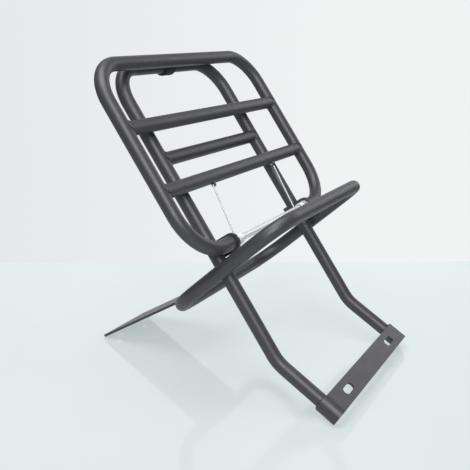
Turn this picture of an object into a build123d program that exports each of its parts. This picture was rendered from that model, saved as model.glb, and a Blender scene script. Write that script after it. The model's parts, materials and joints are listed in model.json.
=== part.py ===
from build123d import *
from math import atan, atan2, cos, degrees, radians, sin
import os

# Luggage carrier with a fold-down tray, standing on the edge of its seat plate and on the
# rolled ends of its lower bracket. Millimetres.
#
# The design is drawn in the carrier's own frame, and leaned back as it stands:
#   x across the carrier, y towards the seat plate, z up along the legs,
#   zero at the middle of the tray's top bar.
# The row frame has +Z up and its zero under the middle of the object, on the ground.

# Tube and sheet
TUBE_R = 8.0
TUBE_WALL = 1.5
SHEET = 3.0
BORE_R = TUBE_R - TUBE_WALL

# Tray: a hoop with open lower ends, and two bars
TRAY_HALF_WIDTH = 169.7
TRAY_TOP_CORNER_R = 44.0
TRAY_BOTTOM_CORNER_R = 50.0
TRAY_BAR_DEPTHS = {"upper": 76.9, "lower": 152.6}
HINGE_DEPTH = 229.5
STUB_END = 104.4

# Frame: a bent tube with two legs, whose feet kick forward
FRAME_BACK = 20.0
FRAME_HALF_WIDTH = 109.6
FRAME_TOP = 3.8
FRAME_CORNER_R = 43.0
FRAME_BAR_DEPTH = 112.3
KICK_DEPTH = 367.5
KICK_ANGLE = 23.4
KICK_LENGTH = 85.5
KICK_R = 45.0

# Support loop: a closed tube welded to the outer side of both legs
LOOP_HALF_WIDTH = FRAME_HALF_WIDTH + 2 * TUBE_R
LOOP_FRONT = -73.9
LOOP_BACK = 106.5
LOOP_DEPTH = 249.7
LOOP_FALL = 0.12
LOOP_FRONT_R = 35.0
LOOP_BACK_R = 48.0
VENT_R = 1.5

# Seat plate: welded to the loop's back tube
PLATE_EDGE = 289.7
PLATE_EDGE_DEPTH = 244.94
PLATE_RISE = 0.074
PLATE_HALF_WIDTH = 48.3
PLATE_CORNER_R = 6.0
PLATE_HOLE_R = 4.25
PLATE_HOLE_X = 30.0
PLATE_HOLE_INSET = 16.0

# Lower bracket: a strap over both feet, with its ends rolled round the tubes
STRAP_START = 62.0
STRAP_WIDTH = 25.2
STRAP_OUTER_R = TUBE_R + SHEET
STRAP_END_R = 11.8
STRAP_END_X = 11.3
STRAP_END_RISE = 11.0
SLOT_LENGTH = 22.6
SLOT_WIDTH = 8.6
SLOT_X = 72.4

# Hinge: ears on the legs, one rod, nuts, coil springs, and bushes in the tray's stubs
EAR_OUTER_X = FRAME_HALF_WIDTH - TUBE_R
EAR_R = 10.5
EAR_BACK = 30.0
ROD_R = 4.0
ROD_HALF_LENGTH = 118.5
RUNNING_CLEARANCE = 0.05
BUSH_LENGTH = 14.6
WASHER_THICKNESS = 2.5
WASHER_R = 8.0
NUT_FLATS = 13.0
NUT_THICKNESS = 6.5
NUT_CHAMFER = 0.8
SPRING_WIRE_R = 0.9
SPRING_MEAN_R = 5.4
SPRING_PITCH = 2.05
SPRING_TURNS = 5
SPRING_INNER_X = 80.7
SPRING_LEG_STEP = 0.5
SPRING_TAIL_DROP = 13.4
SPRING_TAIL_END = 106.5
SPRING_BEND_R = 2.6
BODY_GAP = 0.3
EYE_X = 74.9
EYE_THICKNESS = 2.5
EYE_HALF_WIDTH = 2.4
EYE_HOLE_DROP = 10.0
EYE_HOLE_R = 1.2
EYE_Y = -1.7
LEG_TOP_X = 77.3

# Buffer: a rubber sleeve on the frame's top bar, which the tray's top bar folds back to
BUFFER_R = 11.0
BUFFER_HALF_LENGTH = 9.0

# How the carrier leans: on the underside of the seat plate's edge and on the bracket
kick_down = (-sin(radians(KICK_ANGLE)), -cos(radians(KICK_ANGLE)))
kick_front = (-cos(radians(KICK_ANGLE)), sin(radians(KICK_ANGLE)))
plate_angle = atan(PLATE_RISE)
strap_end = STRAP_START + STRAP_WIDTH


def foot_point(along, forward):
    """Carrier y and z of a point along a foot and in front of its axis."""
    y = FRAME_BACK + along * kick_down[0] + forward * kick_front[0]
    z = -KICK_DEPTH + along * kick_down[1] + forward * kick_front[1]
    return y, z


plate_contact = (
    PLATE_EDGE + SHEET * sin(plate_angle),
    -PLATE_EDGE_DEPTH - SHEET * cos(plate_angle),
)


def strap_rim(wrap):
    """Carrier y and z of the strap's lower rim, at an angle round the foot from its front."""
    inward = STRAP_END_X - STRAP_OUTER_R * sin(radians(wrap))
    rounding = max(0, STRAP_END_RISE - (STRAP_END_R**2 - inward**2) ** 0.5)
    return foot_point(strap_end - rounding, STRAP_OUTER_R * cos(radians(wrap)))


def lean_over(point):
    return atan2(plate_contact[1] - point[1], plate_contact[0] - point[0])


foot_contact = max((strap_rim(wrap) for wrap in range(90, 181)), key=lean_over)
foot_front = foot_point(strap_end, STRAP_OUTER_R)
LEAN = lean_over(foot_contact)


def row_y(point):
    return point[0] * cos(LEAN) + point[1] * sin(LEAN)


def row_z(point):
    return point[1] * cos(LEAN) - point[0] * sin(LEAN)


STAND_HEIGHT = -row_z(foot_contact)
STAND_BACK = -(row_y(foot_front) + row_y((PLATE_EDGE, -PLATE_EDGE_DEPTH))) / 2
CARRIER = Plane(
    origin=(0, STAND_BACK, STAND_HEIGHT), x_dir=(1, 0, 0), z_dir=(0, sin(LEAN), cos(LEAN))
)


def lean(local):
    """A plane of the carrier's frame, placed in the row frame."""
    return Plane(CARRIER.location * local.location)


def across(x, y, z):
    """The plane square to x at a point, with its own x towards -y and its own y up."""
    return lean(Plane(origin=(x, y, z), x_dir=(0, -1, 0), z_dir=(-1, 0, 0)))


SIDES = {"left": -1, "right": 1}
os.makedirs("parts", exist_ok=True)

# --- Frame -------------------------------------------------------------------------------

# Bent tube: foot, leg, top bar, leg, foot
foot_y, foot_z = foot_point(KICK_LENGTH, 0)
with BuildPart() as frame_tube:
    with BuildLine(CARRIER) as frame_path:
        FilletPolyline(
            (-FRAME_HALF_WIDTH, foot_y, foot_z),
            (-FRAME_HALF_WIDTH, FRAME_BACK, -KICK_DEPTH),
            (-FRAME_HALF_WIDTH, FRAME_BACK, FRAME_TOP),
            (FRAME_HALF_WIDTH, FRAME_BACK, FRAME_TOP),
            (FRAME_HALF_WIDTH, FRAME_BACK, -KICK_DEPTH),
            (FRAME_HALF_WIDTH, foot_y, foot_z),
            radius=(KICK_R, FRAME_CORNER_R, FRAME_CORNER_R, KICK_R),
        )
    with BuildSketch(frame_path.line ^ 0):
        Circle(TUBE_R)
        Circle(BORE_R, mode=Mode.SUBTRACT)
    sweep(path=frame_path.line)
frame_tube.part.label = "frame_tube"
export_step(frame_tube.part, "parts/frame_tube.step")

# Crossbar between the legs, its ends cut to sit on them
with BuildPart() as frame_crossbar:
    with BuildSketch(across(0, FRAME_BACK, -FRAME_BAR_DEPTH)):
        Circle(TUBE_R)
        Circle(BORE_R, mode=Mode.SUBTRACT)
    extrude(amount=FRAME_HALF_WIDTH, both=True)
    with BuildSketch(lean(Plane.XY.offset(-FRAME_BAR_DEPTH))):
        with Locations((-FRAME_HALF_WIDTH, FRAME_BACK), (FRAME_HALF_WIDTH, FRAME_BACK)):
            Circle(TUBE_R)
    extrude(amount=2 * TUBE_R, both=True, mode=Mode.SUBTRACT)
frame_crossbar.part.label = "frame_crossbar"
export_step(frame_crossbar.part, "parts/frame_crossbar.step")

# Support loop, with a vent hole under its front tube
LOOP_PLANE = lean(
    Plane(origin=(0, 0, -LOOP_DEPTH), x_dir=(1, 0, 0), z_dir=(0, LOOP_FALL, 1))
)
loop_stretch = (1 + LOOP_FALL**2) ** 0.5
loop_front = LOOP_FRONT * loop_stretch
loop_back = LOOP_BACK * loop_stretch
with BuildPart() as support_loop:
    with BuildLine(LOOP_PLANE) as loop_path:
        FilletPolyline(
            (-LOOP_HALF_WIDTH, loop_back),
            (-LOOP_HALF_WIDTH, loop_front),
            (LOOP_HALF_WIDTH, loop_front),
            (LOOP_HALF_WIDTH, loop_back),
            close=True,
            radius=(LOOP_BACK_R, LOOP_FRONT_R, LOOP_FRONT_R, LOOP_BACK_R),
        )
    with BuildSketch(loop_path.line ^ 0):
        Circle(TUBE_R)
        Circle(BORE_R, mode=Mode.SUBTRACT)
    sweep(path=loop_path.line)
    with BuildSketch(LOOP_PLANE):
        with Locations((0, loop_front)):
            Circle(VENT_R)
    extrude(amount=-2 * TUBE_R, mode=Mode.SUBTRACT)
support_loop.part.label = "support_loop"
export_step(support_loop.part, "parts/support_loop.step")

# Seat plate, cut to sit against the loop's back tube
PLATE_PLANE = lean(
    Plane(
        origin=(0, PLATE_EDGE, -PLATE_EDGE_DEPTH),
        x_dir=(1, 0, 0),
        z_dir=(0, -PLATE_RISE, 1),
    )
)
plate_length = (PLATE_EDGE - LOOP_BACK) / cos(plate_angle)
with BuildPart() as seat_plate:
    with BuildSketch(PLATE_PLANE):
        with Locations((0, -plate_length / 2)):
            Rectangle(2 * PLATE_HALF_WIDTH, plate_length)
        with Locations(
            (-PLATE_HOLE_X, -PLATE_HOLE_INSET), (PLATE_HOLE_X, -PLATE_HOLE_INSET)
        ):
            Circle(PLATE_HOLE_R, mode=Mode.SUBTRACT)
    extrude(amount=-SHEET)
    plate_normal = Axis((0, 0, 0), PLATE_PLANE.z_dir)
    plate_length_axis = Axis((0, 0, 0), PLATE_PLANE.y_dir)
    outer_corners = (
        seat_plate.edges().filter_by(plate_normal).group_by(plate_length_axis)[-1]
    )
    fillet(outer_corners, PLATE_CORNER_R)
    with BuildSketch(across(0, LOOP_BACK, -LOOP_DEPTH - LOOP_FALL * LOOP_BACK)):
        Circle(TUBE_R)
    extrude(amount=2 * PLATE_HALF_WIDTH, both=True, mode=Mode.SUBTRACT)
seat_plate.part.label = "seat_plate"
export_step(seat_plate.part, "parts/seat_plate.step")

# Lower bracket: flat in front of the feet, with two slots, and rolled half round the feet
# at its ends, which are rounded off behind
FOOT_PLANE = lean(
    Plane(
        origin=(0, *foot_point(STRAP_START, 0)),
        x_dir=(1, 0, 0),
        z_dir=(0, *kick_down),
    )
)
FACE_PLANE = lean(
    Plane(
        origin=(0, *foot_point(STRAP_START + STRAP_WIDTH / 2, STRAP_OUTER_R)),
        x_dir=(1, 0, 0),
        z_dir=(0, *kick_front),
    )
)
REAR_PLANE = lean(
    Plane(
        origin=(0, *foot_point(STRAP_START + STRAP_WIDTH / 2, 0)),
        x_dir=(1, 0, 0),
        z_dir=(0, -kick_front[0], -kick_front[1]),
    )
)
rounded_rise = STRAP_WIDTH / 2 - STRAP_END_RISE
with BuildPart() as lower_bracket:
    with BuildSketch(FOOT_PLANE):
        with Locations((0, TUBE_R + SHEET / 2)):
            Rectangle(2 * FRAME_HALF_WIDTH, SHEET)
        for side in SIDES.values():
            with Locations((side * FRAME_HALF_WIDTH, 0)):
                Circle(STRAP_OUTER_R)
        for side in SIDES.values():
            with Locations((side * FRAME_HALF_WIDTH, 0)):
                Circle(TUBE_R, mode=Mode.SUBTRACT)
        with Locations((0, -SHEET / 2)):
            Rectangle(
                2 * FRAME_HALF_WIDTH, 2 * TUBE_R + SHEET, mode=Mode.SUBTRACT
            )
    extrude(amount=STRAP_WIDTH)
    with BuildSketch(FACE_PLANE):
        with Locations((-SLOT_X, 0), (SLOT_X, 0)):
            SlotOverall(SLOT_LENGTH, SLOT_WIDTH)
    extrude(amount=-2 * SHEET, mode=Mode.SUBTRACT)
    with BuildSketch(REAR_PLANE):
        for side in SIDES.values():
            with Locations((side * FRAME_HALF_WIDTH, 0)):
                Rectangle(2 * TUBE_R + SHEET, STRAP_WIDTH + 2 * SHEET)
        for side in SIDES.values():
            with Locations((side * (FRAME_HALF_WIDTH + STRAP_END_X), 0)):
                Rectangle(2 * STRAP_END_R, 2 * rounded_rise, mode=Mode.SUBTRACT)
        for side in SIDES.values():
            with Locations(
                (side * (FRAME_HALF_WIDTH + STRAP_END_X), -rounded_rise),
                (side * (FRAME_HALF_WIDTH + STRAP_END_X), rounded_rise),
            ):
                Circle(STRAP_END_R, mode=Mode.SUBTRACT)
    extrude(amount=2 * STRAP_OUTER_R, mode=Mode.SUBTRACT)
lower_bracket.part.label = "lower_bracket"
export_step(lower_bracket.part, "parts/lower_bracket.step")

# Buffer sleeve on the middle of the frame's top bar
with BuildPart() as top_buffer:
    with BuildSketch(across(0, FRAME_BACK, FRAME_TOP)):
        Circle(BUFFER_R)
        Circle(TUBE_R, mode=Mode.SUBTRACT)
    extrude(amount=BUFFER_HALF_LENGTH, both=True)
    fillet(top_buffer.edges().filter_by(GeomType.CIRCLE).group_by(SortBy.RADIUS)[-1], 1)
top_buffer.part.label = "top_buffer"
export_step(top_buffer.part, "parts/top_buffer.step")

# --- Hinge -------------------------------------------------------------------------------

# One rod through both ears, into the bushes of the tray's stubs
with BuildPart() as hinge_rod:
    with BuildSketch(across(0, 0, -HINGE_DEPTH)):
        Circle(ROD_R)
    extrude(amount=ROD_HALF_LENGTH, both=True)
    chamfer(hinge_rod.edges().filter_by(GeomType.CIRCLE), ROD_R / 8)
hinge_rod.part.label = "hinge_rod"
export_step(hinge_rod.part, "parts/hinge_rod.step")

for side_name, side in SIDES.items():
    # Ear: a plate on the inner side of the leg, round about the hinge
    with BuildPart() as ear:
        with BuildSketch(across(side * (EAR_OUTER_X - SHEET / 2), 0, -HINGE_DEPTH)):
            Circle(EAR_R)
            with Locations((-EAR_BACK / 2, 0)):
                Rectangle(EAR_BACK, 2 * EAR_R)
            Circle(ROD_R + RUNNING_CLEARANCE, mode=Mode.SUBTRACT)
        extrude(amount=SHEET / 2, both=True)
    ear.part.label = f"{side_name}_ear"
    export_step(ear.part, f"parts/{side_name}_ear.step")

    # Hexagon nut against the inner face of the ear
    nut_x = side * (EAR_OUTER_X - SHEET - NUT_THICKNESS / 2)
    with BuildPart() as nut:
        with BuildSketch(across(nut_x, 0, -HINGE_DEPTH)):
            RegularPolygon(NUT_FLATS / 2, 6, major_radius=False)
        extrude(amount=NUT_THICKNESS / 2, both=True)
        with BuildSketch(across(nut_x, 0, -HINGE_DEPTH)):
            Circle(NUT_FLATS / 2 + NUT_CHAMFER)
        extrude(amount=NUT_THICKNESS / 2, both=True, mode=Mode.INTERSECT)
        with BuildSketch(across(nut_x, 0, -HINGE_DEPTH)):
            Circle(ROD_R)
        extrude(amount=NUT_THICKNESS, both=True, mode=Mode.SUBTRACT)
    nut.part.label = f"{side_name}_nut"
    export_step(nut.part, f"parts/{side_name}_nut.step")

    # Spring coil round the rod, from the leg at its inner end out to the tail by the nut
    coil_length = SPRING_PITCH * SPRING_TURNS
    coil_axis = lean(
        Plane(
            origin=(side * SPRING_INNER_X, 0, -HINGE_DEPTH),
            x_dir=(0, 1, 0),
            z_dir=(side, 0, 0),
        )
    )
    coil_helix = Helix(
        SPRING_PITCH, coil_length, SPRING_MEAN_R, lefthand=side > 0, mode=Mode.PRIVATE
    )
    with BuildPart() as coil:
        with BuildLine() as coil_path:
            add(coil_axis.location * coil_helix)
        with BuildSketch(coil_path.line ^ 0):
            Circle(SPRING_WIRE_R)
        sweep(path=coil_path.line, is_frenet=True)
    coil.part.label = f"{side_name}_spring_coil"
    export_step(coil.part, f"parts/{side_name}_spring_coil.step")

    # Spring tail: down from the coil, then out under the ear
    tail_x = side * (SPRING_INNER_X + coil_length)
    with BuildPart() as tail:
        with BuildLine(CARRIER) as tail_path:
            FilletPolyline(
                (tail_x, SPRING_MEAN_R, -HINGE_DEPTH),
                (tail_x, SPRING_MEAN_R, -HINGE_DEPTH - SPRING_TAIL_DROP),
                (side * SPRING_TAIL_END, SPRING_MEAN_R, -HINGE_DEPTH - SPRING_TAIL_DROP),
                radius=SPRING_BEND_R,
            )
        with BuildSketch(tail_path.line ^ 0):
            Circle(SPRING_WIRE_R)
        sweep(path=tail_path.line)
    tail.part.label = f"{side_name}_spring_tail"
    export_step(tail.part, f"parts/{side_name}_spring_tail.step")

    # Spring leg: up from the coil to the eye under the tray's lower bar
    leg_x = side * (SPRING_INNER_X - SPRING_LEG_STEP)
    eye_hole_z = -TRAY_BAR_DEPTHS["lower"] - EYE_HOLE_DROP
    leg_top = side * LEG_TOP_X
    leg_end = side * (EYE_X - EYE_THICKNESS)
    with BuildPart() as leg:
        with BuildLine(CARRIER) as leg_path:
            FilletPolyline(
                (leg_x, SPRING_MEAN_R, -HINGE_DEPTH + 2 * BODY_GAP),
                (leg_top, EYE_Y, eye_hole_z),
                (leg_end, EYE_Y, eye_hole_z),
                radius=SPRING_WIRE_R * 1.5,
            )
        with BuildSketch(leg_path.line ^ 0):
            Circle(SPRING_WIRE_R)
        sweep(path=leg_path.line)
    leg.part.label = f"{side_name}_spring_leg"
    export_step(leg.part, f"parts/{side_name}_spring_leg.step")

    # Eye: a tab under the tray's lower bar, with a hole for the spring leg
    with BuildPart() as eye:
        with BuildSketch(across(side * EYE_X, 0, -TRAY_BAR_DEPTHS["lower"])):
            with Locations((-EYE_Y, -EYE_HOLE_DROP)):
                Circle(EYE_HALF_WIDTH)
            with Locations((-EYE_Y, -EYE_HOLE_DROP / 2)):
                Rectangle(2 * EYE_HALF_WIDTH, EYE_HOLE_DROP)
            Circle(TUBE_R, mode=Mode.SUBTRACT)
            with Locations((-EYE_Y, -EYE_HOLE_DROP)):
                Circle(EYE_HOLE_R, mode=Mode.SUBTRACT)
        extrude(amount=EYE_THICKNESS / 2, both=True)
    eye.part.label = f"{side_name}_spring_eye"
    export_step(eye.part, f"parts/{side_name}_spring_eye.step")

    # Bush in the open end of the tray's stub
    bush_x = side * (STUB_END + BUSH_LENGTH / 2)
    with BuildPart() as bush:
        with BuildSketch(across(bush_x, 0, -HINGE_DEPTH)):
            Circle(BORE_R)
            Circle(ROD_R + RUNNING_CLEARANCE, mode=Mode.SUBTRACT)
        extrude(amount=BUSH_LENGTH / 2, both=True)
    bush.part.label = f"{side_name}_bush"
    export_step(bush.part, f"parts/{side_name}_bush.step")

    # Washer between the stub and the ear
    washer_x = side * (STUB_END - WASHER_THICKNESS / 2)
    with BuildPart() as washer:
        with BuildSketch(across(washer_x, 0, -HINGE_DEPTH)):
            Circle(WASHER_R)
            Circle(ROD_R + RUNNING_CLEARANCE, mode=Mode.SUBTRACT)
        extrude(amount=WASHER_THICKNESS / 2, both=True)
    washer.part.label = f"{side_name}_washer"
    export_step(washer.part, f"parts/{side_name}_washer.step")

# --- Tray --------------------------------------------------------------------------------

# Hoop, from stub to stub
with BuildPart() as tray_hoop:
    with BuildLine(CARRIER) as tray_path:
        FilletPolyline(
            (-STUB_END, 0, -HINGE_DEPTH),
            (-TRAY_HALF_WIDTH, 0, -HINGE_DEPTH),
            (-TRAY_HALF_WIDTH, 0, 0),
            (TRAY_HALF_WIDTH, 0, 0),
            (TRAY_HALF_WIDTH, 0, -HINGE_DEPTH),
            (STUB_END, 0, -HINGE_DEPTH),
            radius=(
                TRAY_BOTTOM_CORNER_R,
                TRAY_TOP_CORNER_R,
                TRAY_TOP_CORNER_R,
                TRAY_BOTTOM_CORNER_R,
            ),
        )
    with BuildSketch(tray_path.line ^ 0):
        Circle(TUBE_R)
        Circle(BORE_R, mode=Mode.SUBTRACT)
    sweep(path=tray_path.line)
tray_hoop.part.label = "tray_hoop"
export_step(tray_hoop.part, "parts/tray_hoop.step")

# Bars between the hoop's sides, their ends cut to sit on them
for bar_name, bar_depth in TRAY_BAR_DEPTHS.items():
    with BuildPart() as tray_bar:
        with BuildSketch(across(0, 0, -bar_depth)):
            Circle(TUBE_R)
            Circle(BORE_R, mode=Mode.SUBTRACT)
        extrude(amount=TRAY_HALF_WIDTH, both=True)
        with BuildSketch(lean(Plane.XY.offset(-bar_depth))):
            with Locations((-TRAY_HALF_WIDTH, 0), (TRAY_HALF_WIDTH, 0)):
                Circle(TUBE_R)
        extrude(amount=2 * TUBE_R, both=True, mode=Mode.SUBTRACT)
    tray_bar.part.label = f"tray_{bar_name}_bar"
    export_step(tray_bar.part, f"parts/tray_{bar_name}_bar.step")

print("lean angle", round(degrees(LEAN), 3))
print("stand back and height", round(STAND_BACK, 3), round(STAND_HEIGHT, 3))
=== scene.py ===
"""Looks of the folding luggage carrier: weld beads, materials, table, studio light and camera.

Metres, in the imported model's own frame. The carrier leans back, so places on it are given in its
own directions, from the hinge: x across, back towards the seat plate, up along the legs.
"""

import json
import math

import bpy
from mathutils import Matrix, Vector


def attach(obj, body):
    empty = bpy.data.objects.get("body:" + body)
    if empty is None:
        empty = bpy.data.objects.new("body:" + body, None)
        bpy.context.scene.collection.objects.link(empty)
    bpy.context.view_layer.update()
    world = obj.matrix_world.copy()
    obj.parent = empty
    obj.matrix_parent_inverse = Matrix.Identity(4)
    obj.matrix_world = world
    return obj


MM = 0.001

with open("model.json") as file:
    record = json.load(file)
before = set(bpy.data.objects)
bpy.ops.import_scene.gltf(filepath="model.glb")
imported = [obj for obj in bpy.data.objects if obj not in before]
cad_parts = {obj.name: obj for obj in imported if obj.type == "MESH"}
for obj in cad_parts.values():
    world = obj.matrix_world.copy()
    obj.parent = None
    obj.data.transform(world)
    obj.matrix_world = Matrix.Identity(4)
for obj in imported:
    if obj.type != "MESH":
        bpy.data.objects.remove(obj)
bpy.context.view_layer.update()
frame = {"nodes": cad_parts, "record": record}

# --- The carrier's own directions and sizes ---------------------------------------------------

KICK_ANGLE = math.radians(23.4)
face = next(m for m in frame["record"]["mounts"] if m["name"] == "bracket_face")
LEAN = math.atan2(face["axis"][2], -face["axis"][1]) - KICK_ANGLE
BACK = Vector((0, math.cos(LEAN), -math.sin(LEAN)))
UP = Vector((0, math.sin(LEAN), math.cos(LEAN)))
ACROSS = Vector((1, 0, 0))
HINGE = Vector(frame["record"]["behaviour"]["joints"][0]["pos_m"])

TUBE_R = 8 * MM
SHEET = 3 * MM
TRAY_HALF_WIDTH = 169.7 * MM
TRAY_BAR_HEIGHTS = {"upper": 152.6 * MM, "lower": 76.9 * MM}
FRAME_HALF_WIDTH = 109.6 * MM
FRAME_BACK = 20 * MM
FRAME_BAR_HEIGHT = 117.2 * MM
LOOP_DROP = 20.2 * MM
LOOP_FALL = 0.12
LOOP_BACK = 106.5 * MM
PLATE_EDGE = Vector((0, 289.7 * MM, -15.44 * MM))
PLATE_RISE = 0.074
PLATE_HALF_WIDTH = 48.3 * MM
KICK_DROP = 138 * MM
STRAP_START = 62 * MM
STRAP_OUTER_R = 11 * MM
STRAP_END_RISE = 11 * MM
STRAP_END_R = 11.8 * MM
STRAP_END_X = 11.3 * MM
FOOT_END = 85.5 * MM
EAR_R = 10.5 * MM


def at(x, back, up):
    """A point given in the carrier's directions from the hinge."""
    return HINGE + ACROSS * x + BACK * back + UP * up


# --- Material tools ---------------------------------------------------------------------------


class Nodes:
    """A new material, and short ways to add nodes to it."""

    def __init__(self, name):
        self.material = bpy.data.materials.new(name)
        self.material.use_nodes = True
        self.tree = self.material.node_tree
        self.shader = self.tree.nodes["Principled BSDF"]
        self.place = self.tree.nodes.new("ShaderNodeTexCoord").outputs["Object"]

    def link(self, output, target):
        """Join an output to an input."""
        self.tree.links.new(output, target)

    def noise(self, scale, detail=3.0, roughness=0.5, stretch=None):
        """Soft noise over the surface, stretched along one direction if asked."""
        node = self.tree.nodes.new("ShaderNodeTexNoise")
        node.inputs["Scale"].default_value = scale
        node.inputs["Detail"].default_value = detail
        node.inputs["Roughness"].default_value = roughness
        place = self.place
        if stretch:
            mapping = self.tree.nodes.new("ShaderNodeMapping")
            mapping.inputs["Scale"].default_value = stretch
            self.link(place, mapping.inputs["Vector"])
            place = mapping.outputs["Vector"]
        self.link(place, node.inputs["Vector"])
        return node.outputs["Fac"]

    def cells(self, scale):
        """A pattern of small cells."""
        node = self.tree.nodes.new("ShaderNodeTexVoronoi")
        node.inputs["Scale"].default_value = scale
        self.link(self.place, node.inputs["Vector"])
        return node.outputs["Distance"]

    def ramp(self, value, stops):
        """Colours in place of a value, from stops of position and colour."""
        node = self.tree.nodes.new("ShaderNodeValToRGB")
        while len(node.color_ramp.elements) < len(stops):
            node.color_ramp.elements.new(0.5)
        for element, (position, colour) in zip(node.color_ramp.elements, stops):
            element.position = position
            element.color = (*colour, 1)
        self.link(value, node.inputs["Fac"])
        return node.outputs["Color"]

    def spread(self, value, low, high, from_low=0.3, from_high=0.7):
        """The value moved from its usual range into another."""
        node = self.tree.nodes.new("ShaderNodeMapRange")
        node.inputs["From Min"].default_value = from_low
        node.inputs["From Max"].default_value = from_high
        node.inputs["To Min"].default_value = low
        node.inputs["To Max"].default_value = high
        self.link(value, node.inputs["Value"])
        return node.outputs["Result"]

    def mix(self, factor, first, second):
        """A blend of two colours, by a factor."""
        node = self.tree.nodes.new("ShaderNodeMix")
        node.data_type = "RGBA"
        self.link(factor, node.inputs["Factor"])
        for value, socket in ((first, node.inputs["A"]), (second, node.inputs["B"])):
            if isinstance(value, tuple):
                socket.default_value = (*value, 1)
            else:
                self.link(value, socket)
        return node.outputs["Result"]

    def bump(self, height, strength, distance, below=None):
        """A relief in the shading, laid over another one if given."""
        node = self.tree.nodes.new("ShaderNodeBump")
        node.inputs["Strength"].default_value = strength
        node.inputs["Distance"].default_value = distance
        self.link(height, node.inputs["Height"])
        if below:
            self.link(below, node.inputs["Normal"])
        return node.outputs["Normal"]


def powder_coat():
    """Satin black powder coat: fine grain, orange peel, faint cloudiness and handling marks."""
    nodes = Nodes("powder_coat")
    shader = nodes.shader
    cloud = nodes.noise(14, 4)
    grain = nodes.noise(2600, 2)
    marks = nodes.noise(60, 5, 0.65, stretch=(1, 1, 5))
    cloudy = nodes.ramp(cloud, ((0.3, (0.027, 0.0255, 0.028)), (0.7, (0.034, 0.032, 0.0355))))
    speckle = nodes.ramp(grain, ((0.35, (0.022, 0.0208, 0.023)), (0.7, (0.047, 0.0445, 0.049))))
    nodes.link(nodes.mix(marks, cloudy, speckle), shader.inputs["Base Color"])
    nodes.link(nodes.spread(marks, 0.41, 0.5), shader.inputs["Roughness"])
    shader.inputs["Specular IOR Level"].default_value = 0.62
    peel = nodes.bump(nodes.noise(520, 2), 0.05, 0.0002)
    fine = nodes.bump(grain, 0.1, 0.00005, below=peel)
    nodes.link(fine, shader.inputs["Normal"])
    return nodes.material


def zinc(name, tone, roughness):
    """Bright zinc plate: metal with a faint blue and straw bloom and fine turning marks."""
    nodes = Nodes(name)
    shader = nodes.shader
    shader.inputs["Metallic"].default_value = 0.72
    bloom = nodes.noise(160, 4)
    cool = tuple(tone * k for k in (0.92, 0.98, 1.03))
    warm = tuple(tone * k for k in (1.0, 1.0, 0.96))
    nodes.link(nodes.ramp(bloom, ((0.35, cool), (0.65, warm))), shader.inputs["Base Color"])
    turning = nodes.noise(900, 3, stretch=(6, 1, 1))
    nodes.link(
        nodes.spread(turning, roughness - 0.06, roughness + 0.08), shader.inputs["Roughness"]
    )
    nodes.link(nodes.bump(turning, 0.02, 0.00001), shader.inputs["Normal"])
    return nodes.material


def moulded(name, dark, light, roughness, grain_scale):
    """Moulded black plastic or rubber, with a fine matt grain."""
    nodes = Nodes(name)
    shader = nodes.shader
    cloud = nodes.noise(220, 4)
    nodes.link(nodes.ramp(cloud, ((0.3, dark), (0.7, light))), shader.inputs["Base Color"])
    nodes.link(nodes.spread(cloud, roughness - 0.06, roughness + 0.06), shader.inputs["Roughness"])
    nodes.link(nodes.bump(nodes.cells(grain_scale), 0.2, 0.00008), shader.inputs["Normal"])
    return nodes.material


def glass_table():
    """Pale green-grey glass table top: glossy, barely cloudy, and glowing like frosted glass."""
    nodes = Nodes("glass_table")
    shader = nodes.shader
    cloud = nodes.noise(3, 3)
    colour = nodes.ramp(cloud, ((0.3, (0.20, 0.215, 0.213)), (0.7, (0.21, 0.225, 0.222))))
    glow = nodes.ramp(cloud, ((0.3, (0.435, 0.49, 0.478)), (0.7, (0.45, 0.505, 0.493))))
    nodes.link(colour, shader.inputs["Base Color"])
    nodes.link(glow, shader.inputs["Emission Color"])
    shader.inputs["Emission Strength"].default_value = 1
    nodes.link(nodes.spread(cloud, 0.07, 0.1), shader.inputs["Roughness"])
    shader.inputs["Specular IOR Level"].default_value = 0.5
    return nodes.material


COAT = powder_coat()
ZINC = zinc("bright_zinc", 0.8, 0.46)
WIRE = zinc("spring_wire", 0.64, 0.58)
NYLON = moulded("black_nylon", (0.018, 0.018, 0.019), (0.028, 0.028, 0.03), 0.5, 1800)
RUBBER = moulded("black_rubber", (0.014, 0.014, 0.014), (0.024, 0.024, 0.024), 0.68, 1200)

SLOT_MATERIALS = {
    "black_powder_coat": COAT,
    "bright_zinc": ZINC,
    "spring_wire": WIRE,
    "black_nylon": NYLON,
    "black_rubber": RUBBER,
}

for part in frame["record"]["subparts"]:
    node = frame["nodes"][part["node"]]
    node.data.materials.clear()
    node.data.materials.append(SLOT_MATERIALS[part["material_slot"]])

# --- Weld beads -------------------------------------------------------------------------------

BEAD_STEP = 0.45 * MM
BEAD_STAND_OFF = 0.35 * MM
BEAD_RING_STEPS = 10
SCALE_LENGTH = 1.7 * MM
SCALE_LOW = 0.86
SCALE_RISE = 0.16
BEAD_END_TAPER = 0.45
THIN_BEAD = 1.1 * MM
EAR_BEAD = 1.3 * MM
PLATE_BEAD = 1.5 * MM
LOOP_BEAD = 1.7 * MM
LOOP_BEAD_RING_R = 5.2 * MM
SADDLE_MIN_OFFSET = 1.2 * MM


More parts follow.
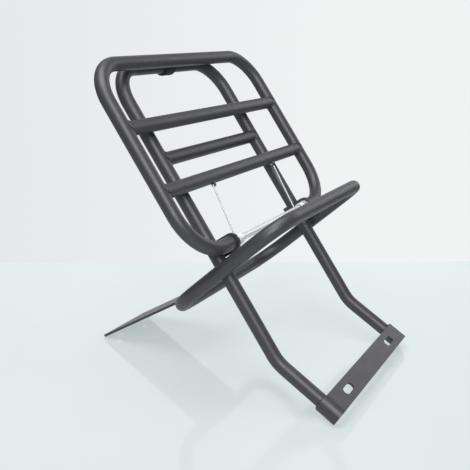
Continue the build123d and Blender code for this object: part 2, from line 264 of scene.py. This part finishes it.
def bead(name, path, body, size, closed=False):
    """A weld bead: a round swelling along a path, with the overlapping scales of its run."""
    ring = BEAD_RING_STEPS
    count = len(path)
    lengths = [0.0]
    for first, second in zip(path, path[1:]):
        lengths.append(lengths[-1] + (second - first).length)
    verts = []
    side = None
    for index, point in enumerate(path):
        if closed:
            ahead = path[(index + 1) % count] - path[index - 1]
        else:
            ahead = path[min(index + 1, count - 1)] - path[max(index - 1, 0)]
        ahead.normalize()
        if side is None:
            side = ahead.orthogonal().normalized()
        side = (side - ahead * side.dot(ahead)).normalized()
        other = ahead.cross(side)
        scale = (lengths[index] / SCALE_LENGTH) % 1.0
        radius = size * (SCALE_LOW + SCALE_RISE * math.sin(math.pi * scale))
        if not closed and index in (0, count - 1):
            radius *= BEAD_END_TAPER
        for step in range(ring):
            turn = 2 * math.pi * step / ring
            verts.append(point + (side * math.cos(turn) + other * math.sin(turn)) * radius)
    faces = []
    spans = count if closed else count - 1
    for index in range(spans):
        following = (index + 1) % count
        for step in range(ring):
            beyond = (step + 1) % ring
            faces.append(
                (
                    index * ring + step,
                    index * ring + beyond,
                    following * ring + beyond,
                    following * ring + step,
                )
            )
    if not closed:
        faces.append(tuple(reversed(range(ring))))
        faces.append(tuple(range((count - 1) * ring, count * ring)))
    mesh = bpy.data.meshes.new(name)
    mesh.from_pydata([tuple(v) for v in verts], [], faces)
    mesh.update()
    mesh.shade_smooth()
    mesh.materials.append(COAT)
    piece = bpy.data.objects.new(name, mesh)
    bpy.context.scene.collection.objects.link(piece)
    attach(piece, body)


def saddle(side_x, back, up, inward):
    """The line where a crossbar's end meets an upright tube of the same size."""
    points = []
    steps = 72
    reach = TUBE_R + BEAD_STAND_OFF
    for step in range(steps):
        turn = 2 * math.pi * step / steps
        offset = max(abs(math.sin(turn)) * reach, SADDLE_MIN_OFFSET)
        points.append(
            at(
                side_x + inward * offset,
                back + reach * math.cos(turn),
                up + reach * math.sin(turn),
            )
        )
    return points


def straight(start, end):
    """Evenly spaced points from one place to another."""
    steps = max(4, int((end - start).length / BEAD_STEP))
    return [start.lerp(end, step / steps) for step in range(steps + 1)]


def weld_bars(side_name, side):
    """Beads where the tray's and the frame's crossbars meet the upright tubes."""
    for bar_name, height in TRAY_BAR_HEIGHTS.items():
        line = saddle(side * TRAY_HALF_WIDTH, 0, height, -side)
        bead(f"weld_tray_{bar_name}_{side_name}", line, "tray", THIN_BEAD, closed=True)
    line = saddle(side * FRAME_HALF_WIDTH, FRAME_BACK, FRAME_BAR_HEIGHT, -side)
    bead(f"weld_frame_bar_{side_name}", line, "frame", THIN_BEAD, closed=True)


def weld_loop(side_name, side):
    """A round bead where the loop's side touches the leg."""
    steps = 60
    touch_x = side * (FRAME_HALF_WIDTH + TUBE_R)
    touch_up = -LOOP_DROP - LOOP_FALL * FRAME_BACK
    line = []
    for step in range(steps):
        turn = 2 * math.pi * step / steps
        back = FRAME_BACK + LOOP_BEAD_RING_R * math.cos(turn)
        line.append(at(touch_x, back, touch_up + LOOP_BEAD_RING_R * math.sin(turn)))
    bead(f"weld_loop_{side_name}", line, "frame", LOOP_BEAD, closed=True)


def weld_ear(side_name, side):
    """Two upright beads between the ear and the leg."""
    ear_x = side * (FRAME_HALF_WIDTH - TUBE_R + 0.5 * MM)
    for edge_name, shift in (("front", -4.4 * MM), ("rear", 4.4 * MM)):
        foot = at(ear_x, FRAME_BACK + shift, -EAR_R + MM)
        head = at(ear_x, FRAME_BACK + shift, EAR_R - MM)
        bead(f"weld_ear_{edge_name}_{side_name}", straight(foot, head), "frame", EAR_BEAD)


def weld_plate():
    """Beads above and below the seat plate, along the loop's back tube."""
    tube_up = -LOOP_DROP - LOOP_FALL * LOOP_BACK
    for face_name, depth, lift in (
        ("top", 0.0, BEAD_STAND_OFF),
        ("under", SHEET, -BEAD_STAND_OFF),
    ):
        for step in range(200):
            gap_back = LOOP_BACK + step * 0.05 * MM
            plate_up = PLATE_EDGE.z + PLATE_RISE * (gap_back - PLATE_EDGE.y) - depth
            if math.hypot(gap_back - LOOP_BACK, plate_up - tube_up) >= TUBE_R:
                break
        line = straight(
            at(-PLATE_HALF_WIDTH + MM, gap_back, plate_up + lift),
            at(PLATE_HALF_WIDTH - MM, gap_back, plate_up + lift),
        )
        bead(f"weld_plate_{face_name}", line, "frame", PLATE_BEAD)


def strap_rounding(turn):
    """How far the strap's edge is rounded off, at an angle round the foot from its front."""
    inward = STRAP_END_X - STRAP_OUTER_R * math.sin(turn)
    return max(0.0, STRAP_END_RISE - math.sqrt(STRAP_END_R**2 - inward**2))


def weld_strap(side_name, side):
    """Beads round a foot, at the upper edge of the strap and at the tube's end."""
    foot_down = BACK * -math.sin(KICK_ANGLE) + UP * -math.cos(KICK_ANGLE)
    foot_front = BACK * -math.cos(KICK_ANGLE) + UP * math.sin(KICK_ANGLE)
    bend = at(side * FRAME_HALF_WIDTH, FRAME_BACK, -KICK_DROP)
    for edge_name, along in (("upper", STRAP_START - 0.2 * MM), ("lower", FOOT_END + 0.1 * MM)):
        line = []
        for step in range(49):
            turn = math.pi * step / 60
            follow = strap_rounding(turn) if edge_name == "upper" and turn > math.pi / 2 else 0
            outward = ACROSS * side * math.sin(turn) + foot_front * math.cos(turn)
            line.append(bend + foot_down * (along + follow) + outward * (TUBE_R + 0.7 * MM))
        bead(f"weld_strap_{edge_name}_{side_name}", line, "frame", THIN_BEAD)


SIDES = (("left", -1), ("right", 1))
for side_name, side in SIDES:
    weld_bars(side_name, side)
    weld_loop(side_name, side)
    weld_ear(side_name, side)
weld_plate()
for side_name, side in SIDES:
    weld_strap(side_name, side)

# --- Table, light and camera ------------------------------------------------------------------

CAMERA_PLACE = at(-776.1 * MM, -433.3 * MM, -27.2 * MM)
CAMERA_AIM = (ACROSS * 0.84659 + BACK * 0.52971 + UP * 0.05195).normalized()
CAMERA_RIGHT = (ACROSS * 0.48153 - BACK * 0.72068 - UP * 0.49876).normalized()
CAMERA_LENS = 56.3
CAMERA_SHIFT = (0.0063, -0.0174)
TABLE_REACH = 1.264
TABLE_HALF_WIDTH = 1.1
TABLE_NEAR = -0.5
TABLE_THICKNESS = 0.012

camera_data = bpy.data.cameras.new("camera")
camera_data.lens = CAMERA_LENS
camera_data.sensor_width = 36
camera_data.shift_x, camera_data.shift_y = CAMERA_SHIFT
camera_data.clip_start = 0.01
camera_data.clip_end = 20
camera = bpy.data.objects.new("camera", camera_data)
turned = Matrix((CAMERA_RIGHT, CAMERA_RIGHT.cross(CAMERA_AIM), -CAMERA_AIM)).transposed()
camera.matrix_world = Matrix.Translation(CAMERA_PLACE) @ turned.to_4x4()
bpy.context.scene.collection.objects.link(camera)
bpy.context.scene.camera = camera

heading = Vector((CAMERA_AIM.x, CAMERA_AIM.y, 0)).normalized()
beside = Vector((heading.y, -heading.x, 0))
camera_foot = Vector((CAMERA_PLACE.x, CAMERA_PLACE.y, 0))


def table_top():
    """A thick sheet of glass, its far edge behind the carrier."""
    corners = []
    for along, across in ((TABLE_NEAR, -1), (TABLE_REACH, -1), (TABLE_REACH, 1), (TABLE_NEAR, 1)):
        corners.append(camera_foot + heading * along + beside * across * TABLE_HALF_WIDTH)
    drop = Vector((0, 0, TABLE_THICKNESS))
    verts = [tuple(c) for c in corners] + [tuple(c - drop) for c in corners]
    faces = [(3, 2, 1, 0), (4, 5, 6, 7), (0, 1, 5, 4), (1, 2, 6, 5), (2, 3, 7, 6), (3, 0, 4, 7)]
    mesh = bpy.data.meshes.new("table")
    mesh.from_pydata(verts, [], faces)
    mesh.update()
    mesh.materials.append(glass_table())
    table = bpy.data.objects.new("table", mesh)
    bpy.context.scene.collection.objects.link(table)


table_top()


def softbox(name, place, size, power):
    """A square soft light that faces the carrier."""
    light = bpy.data.lights.new(name, "AREA")
    light.shape = "RECTANGLE"
    light.size = size
    light.size_y = size
    light.energy = power
    lamp = bpy.data.objects.new(name, light)
    lamp.location = place
    lamp.rotation_euler = (LIT_PLACE - Vector(place)).to_track_quat("-Z", "Y").to_euler()
    bpy.context.scene.collection.objects.link(lamp)


LIT_PLACE = Vector((0, 0, 0.2))
softbox("top_box", (-0.3, 0.0, 1.5), 1.1, 20)
softbox("camera_box", (-1.25, -0.95, 1.15), 0.9, 24)
softbox("right_box", (1.5, -0.55, 0.8), 0.9, 4)


def studio():
    """A pale wall for the camera, and for the other rays a dim fill with a bright rear wall."""
    world = bpy.data.worlds.new("studio")
    world.use_nodes = True
    bpy.context.scene.world = world
    tree = world.node_tree
    place = tree.nodes.new("ShaderNodeTexCoord").outputs["Generated"]

    def spread(direction, from_min, from_max, to_min=0.0, to_max=1.0):
        """A value that rises as a ray turns towards a direction."""
        dot = tree.nodes.new("ShaderNodeVectorMath")
        dot.operation = "DOT_PRODUCT"
        dot.inputs[1].default_value = direction
        tree.links.new(place, dot.inputs[0])
        rise = tree.nodes.new("ShaderNodeMapRange")
        rise.inputs["From Min"].default_value = from_min
        rise.inputs["From Max"].default_value = from_max
        rise.inputs["To Min"].default_value = to_min
        rise.inputs["To Max"].default_value = to_max
        tree.links.new(dot.outputs["Value"], rise.inputs["Value"])
        return rise.outputs["Result"]

    wall_colour = tree.nodes.new("ShaderNodeMix")
    wall_colour.data_type = "RGBA"
    wall_colour.inputs["A"].default_value = (0.79, 0.81, 0.825, 1)
    wall_colour.inputs["B"].default_value = (0.88, 0.89, 0.895, 1)
    tree.links.new(spread(beside, -0.3, 0.15), wall_colour.inputs["Factor"])
    seen = tree.nodes["Background"]
    tree.links.new(wall_colour.outputs["Result"], seen.inputs["Color"])

    fill = tree.nodes.new("ShaderNodeBackground")
    fill.inputs["Color"].default_value = (0.93, 0.96, 1, 1)
    tree.links.new(spread(heading, 0.7, 0.93, 0.2, 0.95), fill.inputs["Strength"])

    ray = tree.nodes.new("ShaderNodeLightPath")
    choose = tree.nodes.new("ShaderNodeMixShader")
    tree.links.new(ray.outputs["Is Camera Ray"], choose.inputs["Fac"])
    tree.links.new(fill.outputs["Background"], choose.inputs[1])
    tree.links.new(seen.outputs["Background"], choose.inputs[2])
    tree.links.new(choose.outputs["Shader"], tree.nodes["World Output"].inputs["Surface"])


studio()
bpy.context.scene.view_settings.view_transform = "Standard"
